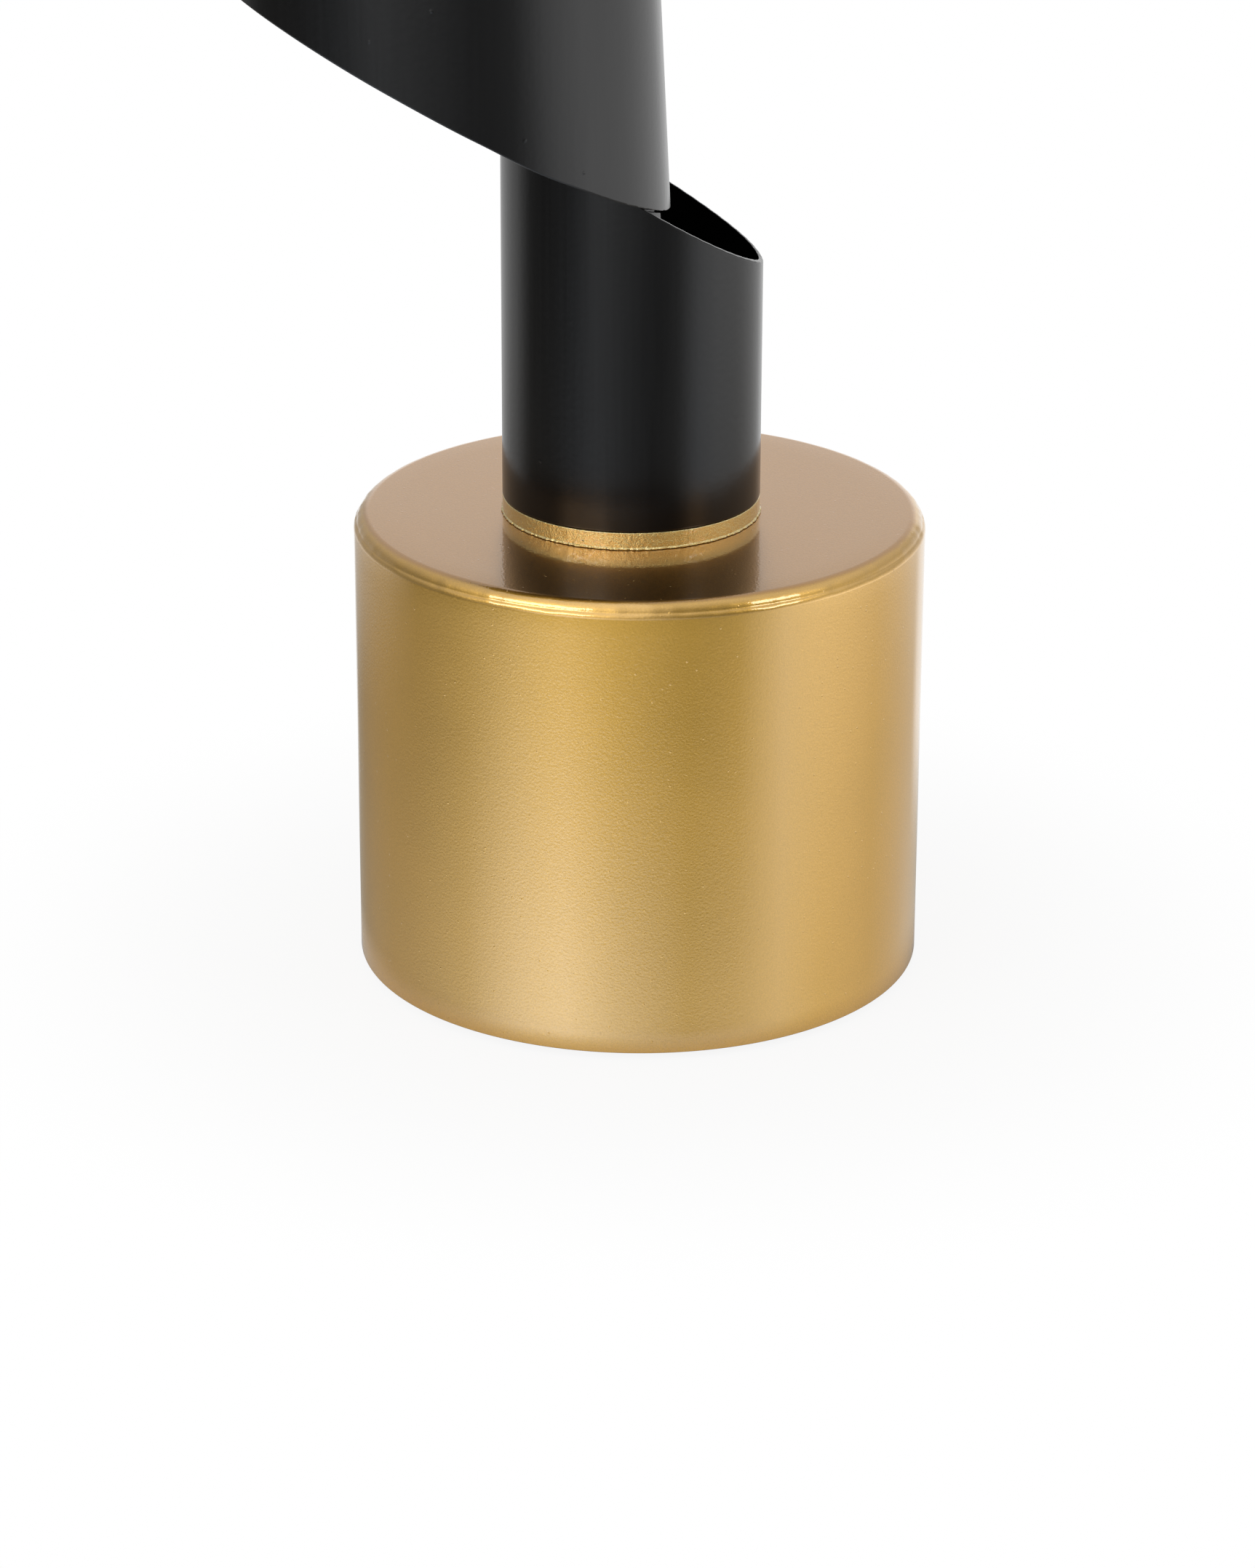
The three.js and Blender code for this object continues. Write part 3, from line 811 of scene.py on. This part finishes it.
# Brightness of the studio around the object: a row for each elevation, a column for each azimuth
# in degrees to the right of the camera. Large soft light stands on the left and on the right, and
# the rows below the horizon are the light and shade that the floor throws back.
AZIMUTHS = [-180, -150, -120, -100, -75, -50, -30, -10, 20, 40, 50, 60, 80, 110, 145]
STUDIO = {
    -60: [0.70, 1.00, 1.10, 1.10, 0.95, 0.90, 0.85, 0.75, 0.80, 0.80, 0.80, 0.75, 0.55, 0.40, 0.55],
    -30: [0.70, 0.60, 0.70, 0.85, 1.00, 1.15, 1.20, 1.00, 0.95, 0.95, 0.90, 0.80, 0.40, 0.30, 0.60],
    -25: [0.38, 0.30, 0.34, 0.48, 0.68, 1.50, 1.85, 1.20, 0.50, 0.65, 0.75, 0.80, 0.50, 0.40, 0.60],
    -21: [0.40, 0.15, 0.15, 0.20, 0.30, 0.60, 0.60, 0.20, 0.05, 0.20, 0.60, 0.90, 0.75, 0.40, 0.45],
    -17: [0.75, 0.80, 0.75, 0.05, 0.05, 0.05, 0.05, 0.05, 0.05, 0.20, 0.55, 0.95, 1.10, 0.85, 0.90],
    -13: [0.70, 0.65, 0.60, 0.15, 0.05, 0.10, 0.70, 0.60, 0.20, 0.25, 0.70, 1.35, 1.80, 1.25, 0.90],
    -4: [0.50, 0.40, 0.30, 0.20, 0.15, 0.45, 2.00, 1.10, 0.40, 0.25, 0.55, 0.90, 1.15, 0.80, 0.60],
    14: [0.48, 0.42, 0.26, 0.18, 0.10, 0.25, 0.50, 0.40, 0.05, 0.05, 0.05, 0.15, 0.35, 0.40, 0.42],
    40: [0.60, 0.55, 0.45, 0.45, 0.60, 0.75, 0.95, 0.90, 0.20, 0.15, 0.25, 0.45, 0.70, 0.70, 0.60],
    70: [0.55, 0.65, 0.75, 0.85, 1.00, 1.05, 1.15, 1.15, 0.75, 0.60, 0.60, 0.60, 0.70, 0.70, 0.55],
}
# Light from between these elevations, which the drum's side mirrors, is a little warm where it is
# dim and a little cool where it is bright. The tint turns from DIM_LEVEL on, over TURN_SPAN.
TINTED_LOW = -35
TINTED_HIGH = -20
DIM_TINT = (1.12, 1.0, 0.80)
BRIGHT_TINT = (0.91, 1.0, 1.13)
DIM_LEVEL = 0.2
TURN_SPAN = 0.7
# The part of the white backdrop that shows in the object's gloss, in degrees: azimuth of its
# middle, half its width and a soft edge, the elevations between which it stands with the half
# width of its soft lower edge, and the angle over which it fades above them.
BACKDROP_AZIMUTH = 172
BACKDROP_HALF_WIDTH = 20
BACKDROP_EDGE = 5
BACKDROP_LOW = -22
BACKDROP_LOW_EDGE = 1
BACKDROP_HIGH = 10
BACKDROP_FADE = 14
# What the lamps point at, in metres.
LIGHT_AIM = Vector((0, 0, 0.06))


def light_color(elevation, level):
    """A grey level of the studio, tinted where the drum's side mirrors it."""
    if not TINTED_LOW < elevation < TINTED_HIGH:
        return [level, level, level]
    share = min(max((level - DIM_LEVEL) / TURN_SPAN, 0.0), 1.0)
    return [level * (warm + share * (cool - warm)) for warm, cool in zip(DIM_TINT, BRIGHT_TINT)]


def brightness_ramp(tree, turn, elevation, row):
    """Light around the horizon, from -180 to 180 degrees."""
    ramp = tree.nodes.new("ShaderNodeValToRGB")
    elements = ramp.color_ramp.elements
    stops = list(zip(AZIMUTHS, row)) + [(180, row[0])]
    while len(elements) < len(stops):
        elements.new(1.0)
    for element, (degrees, level) in zip(elements, stops):
        element.position = (degrees + 180) / 360
        element.color = light_color(elevation, level) + [1]
    tree.links.new(turn, ramp.inputs["Fac"])
    return ramp.outputs["Color"]


def backdrop_share(tree, turn, rise):
    """1 where a ray meets the backdrop behind the object, 0 elsewhere."""
    middle = (BACKDROP_AZIMUTH + 180) / 360
    aside = combine(tree, "PINGPONG", combine(tree, "SUBTRACT", turn, middle - 1), 0.5)
    reach = BACKDROP_HALF_WIDTH / 360
    edge = BACKDROP_EDGE / 360
    across = remap(tree, aside, reach - edge, reach + edge, 1.0, 0.0, smooth=True)
    low_start = math.radians(BACKDROP_LOW - BACKDROP_LOW_EDGE)
    low_end = math.radians(BACKDROP_LOW + BACKDROP_LOW_EDGE)
    above = remap(tree, rise, low_start, low_end, smooth=True)
    fade_end = math.radians(BACKDROP_HIGH + BACKDROP_FADE)
    below = remap(tree, rise, math.radians(BACKDROP_HIGH), fade_end, 1.0, 0.0)
    return combine(tree, "MULTIPLY", across, combine(tree, "MULTIPLY", above, below))


def add_world():
    """The studio as the world, white for the camera and, behind the object, for its gloss."""
    world = bpy.data.worlds.new("studio")
    bpy.context.scene.world = world
    world.use_nodes = True
    tree = world.node_tree
    tree.nodes.clear()
    out = tree.nodes.new("ShaderNodeOutputWorld")
    back = tree.nodes.new("ShaderNodeBackground")
    source = tree.nodes.new("ShaderNodeTexCoord")
    sides = []
    for direction in (RIGHT, -AHEAD):
        along = tree.nodes.new("ShaderNodeVectorMath")
        along.operation = "DOT_PRODUCT"
        tree.links.new(source.outputs["Generated"], along.inputs[0])
        along.inputs[1].default_value = direction
        sides.append(along.outputs["Value"])
    turn = remap(tree, combine(tree, "ARCTAN2", sides[0], sides[1]), -math.pi, math.pi)
    split = tree.nodes.new("ShaderNodeSeparateXYZ")
    tree.links.new(source.outputs["Generated"], split.inputs["Vector"])
    rise = combine(tree, "ARCSINE", split.outputs["Z"], 0.0)
    around, below = None, None
    for elevation, row in STUDIO.items():
        level = brightness_ramp(tree, turn, elevation, row)
        if around is None:
            around = level
        else:
            share = remap(tree, rise, math.radians(below), math.radians(elevation))
            around = mix_color(tree, share, around, level)
        below = elevation
    path = tree.nodes.new("ShaderNodeLightPath")
    glossy, transmitted = path.outputs["Is Glossy Ray"], path.outputs["Is Transmission Ray"]
    mirrored = combine(tree, "MAXIMUM", glossy, transmitted)
    mirrored = combine(tree, "MULTIPLY", mirrored, backdrop_share(tree, turn, rise))
    seen = combine(tree, "MAXIMUM", path.outputs["Is Camera Ray"], mirrored)
    shown = mix_color(tree, seen, around, (1, 1, 1))
    tree.links.new(shown, back.inputs["Color"])
    tree.links.new(back.outputs["Background"], out.inputs["Surface"])


def around_object(azimuth, elevation, distance):
    """A point seen from the object, by degrees right of the camera and above the horizon."""
    a, e = math.radians(azimuth), math.radians(elevation)
    level = RIGHT * math.sin(a) - AHEAD * math.cos(a)
    return LIGHT_AIM + distance * (level * math.cos(e) + Vector((0, 0, math.sin(e))))


def add_softbox(name, azimuth, elevation, distance, width, height, brightness):
    lamp = bpy.data.lights.new(name, "AREA")
    lamp.shape = "RECTANGLE"
    lamp.size = width
    lamp.size_y = height
    lamp.energy = brightness * width * height * math.pi
    box = bpy.data.objects.new(name, lamp)
    bpy.context.scene.collection.objects.link(box)
    box.location = around_object(azimuth, elevation, distance)
    box.rotation_euler = (LIGHT_AIM - box.location).to_track_quat("-Z", "Y").to_euler()
    box.visible_camera = False


def add_camera():
    data = bpy.data.cameras.new("camera")
    data.sensor_width = CAMERA_SENSOR
    data.sensor_fit = "AUTO"
    data.lens = CAMERA_LENS
    data.clip_start = 0.01
    camera = bpy.data.objects.new("camera", data)
    bpy.context.scene.collection.objects.link(camera)
    place = Vector(CAMERA_PLACE) * MM
    view = (Vector(CAMERA_TARGET) * MM - place).to_track_quat("-Z", "Y").to_matrix().to_4x4()
    roll = Matrix.Rotation(CAMERA_ROLL, 4, "Z")
    camera.matrix_world = Matrix.Translation(place) @ view @ roll
    bpy.context.scene.camera = camera


add_floor()
add_world()
add_softbox(
    "left_softbox", azimuth=-42, elevation=31, distance=1.3,
    width=0.84, height=0.33, brightness=3.6,
)
add_softbox(
    "right_softbox", azimuth=60, elevation=33, distance=1.3,
    width=0.34, height=0.36, brightness=3.6,
)
add_camera()
bpy.context.scene.view_settings.view_transform = "Standard"
